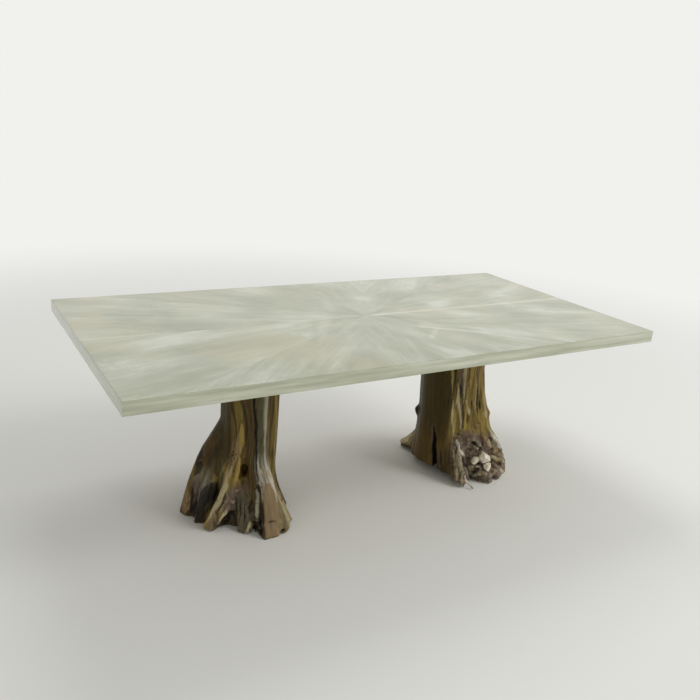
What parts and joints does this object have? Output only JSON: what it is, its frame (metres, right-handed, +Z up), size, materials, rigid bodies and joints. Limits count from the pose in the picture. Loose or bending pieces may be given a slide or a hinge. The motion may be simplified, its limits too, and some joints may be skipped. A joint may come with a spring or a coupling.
{
  "type": "dining table",
  "caption": "Long rustic dining table: a thick flat slab veneered in a sunburst match stands on natural tree-root stumps.",
  "frame": {"origin": "on the floor under the middle of the slab", "axes": "+X along the table towards the stout stump, +Y across it to the back, +Z up"},
  "size_m": [2.2, 1.07, 0.765],
  "materials": {
    "sunburst_veneer": "bleached veneer under gloss lacquer",
    "edge_band_wood": "bleached solid wood under gloss lacquer",
    "backing_veneer": "sealed veneer",
    "core_panel_ply": "sanded plywood",
    "core_frame_wood": "planed softwood",
    "joint_beech": "planed beech",
    "black_plate_steel": "black powder coat",
    "zinc_steel": "zinc plated",
    "insert_brass": "turned",
    "root_wood": "cleaned root wood, waxed to a satin",
    "pale_stone": "broken, matt"
  },
  "bodies": {
    "root": {"sunburst_leaf_01": "sunburst_veneer", "sunburst_leaf_02": "sunburst_veneer", "sunburst_leaf_03": "sunburst_veneer", "sunburst_leaf_04": "sunburst_veneer", "sunburst_leaf_05": "sunburst_veneer", "sunburst_leaf_06": "sunburst_veneer", "sunburst_leaf_07": "sunburst_veneer", "sunburst_leaf_08": "sunburst_veneer", "sunburst_leaf_09": "sunburst_veneer", "sunburst_leaf_10": "sunburst_veneer", "sunburst_leaf_11": "sunburst_veneer", "sunburst_leaf_12": "sunburst_veneer", "front_edge_band": "edge_band_wood", "back_edge_band": "edge_band_wood", "left_edge_band": "edge_band_wood", "right_edge_band": "edge_band_wood", "underside_backer": "backing_veneer", "upper_core_panel": "core_panel_ply", "lower_core_panel": "core_panel_ply", "front_core_rail": "core_frame_wood", "back_core_rail": "core_frame_wood", "left_core_rail": "core_frame_wood", "right_core_rail": "core_frame_wood", "front_core_stringer": "core_frame_wood", "back_core_stringer": "core_frame_wood", "core_rib_1": "core_frame_wood", "core_rib_2": "core_frame_wood", "core_rib_3": "core_frame_wood", "core_rib_4": "core_frame_wood", "core_rib_5": "core_frame_wood", "left_bearer_block": "core_frame_wood", "right_bearer_block": "core_frame_wood", "band_tongues": "joint_beech", "mitre_splines": "joint_beech", "left_top_plate": "black_plate_steel", "right_top_plate": "black_plate_steel", "lag_screws": "zinc_steel", "top_bolts": "zinc_steel", "plate_washers": "zinc_steel", "threaded_inserts": "insert_brass", "left_stump": "root_wood", "right_stump": "root_wood", "root_stone_1": "pale_stone", "root_stone_2": "pale_stone", "root_stone_3": "pale_stone"}
  },
  "joints": []
}
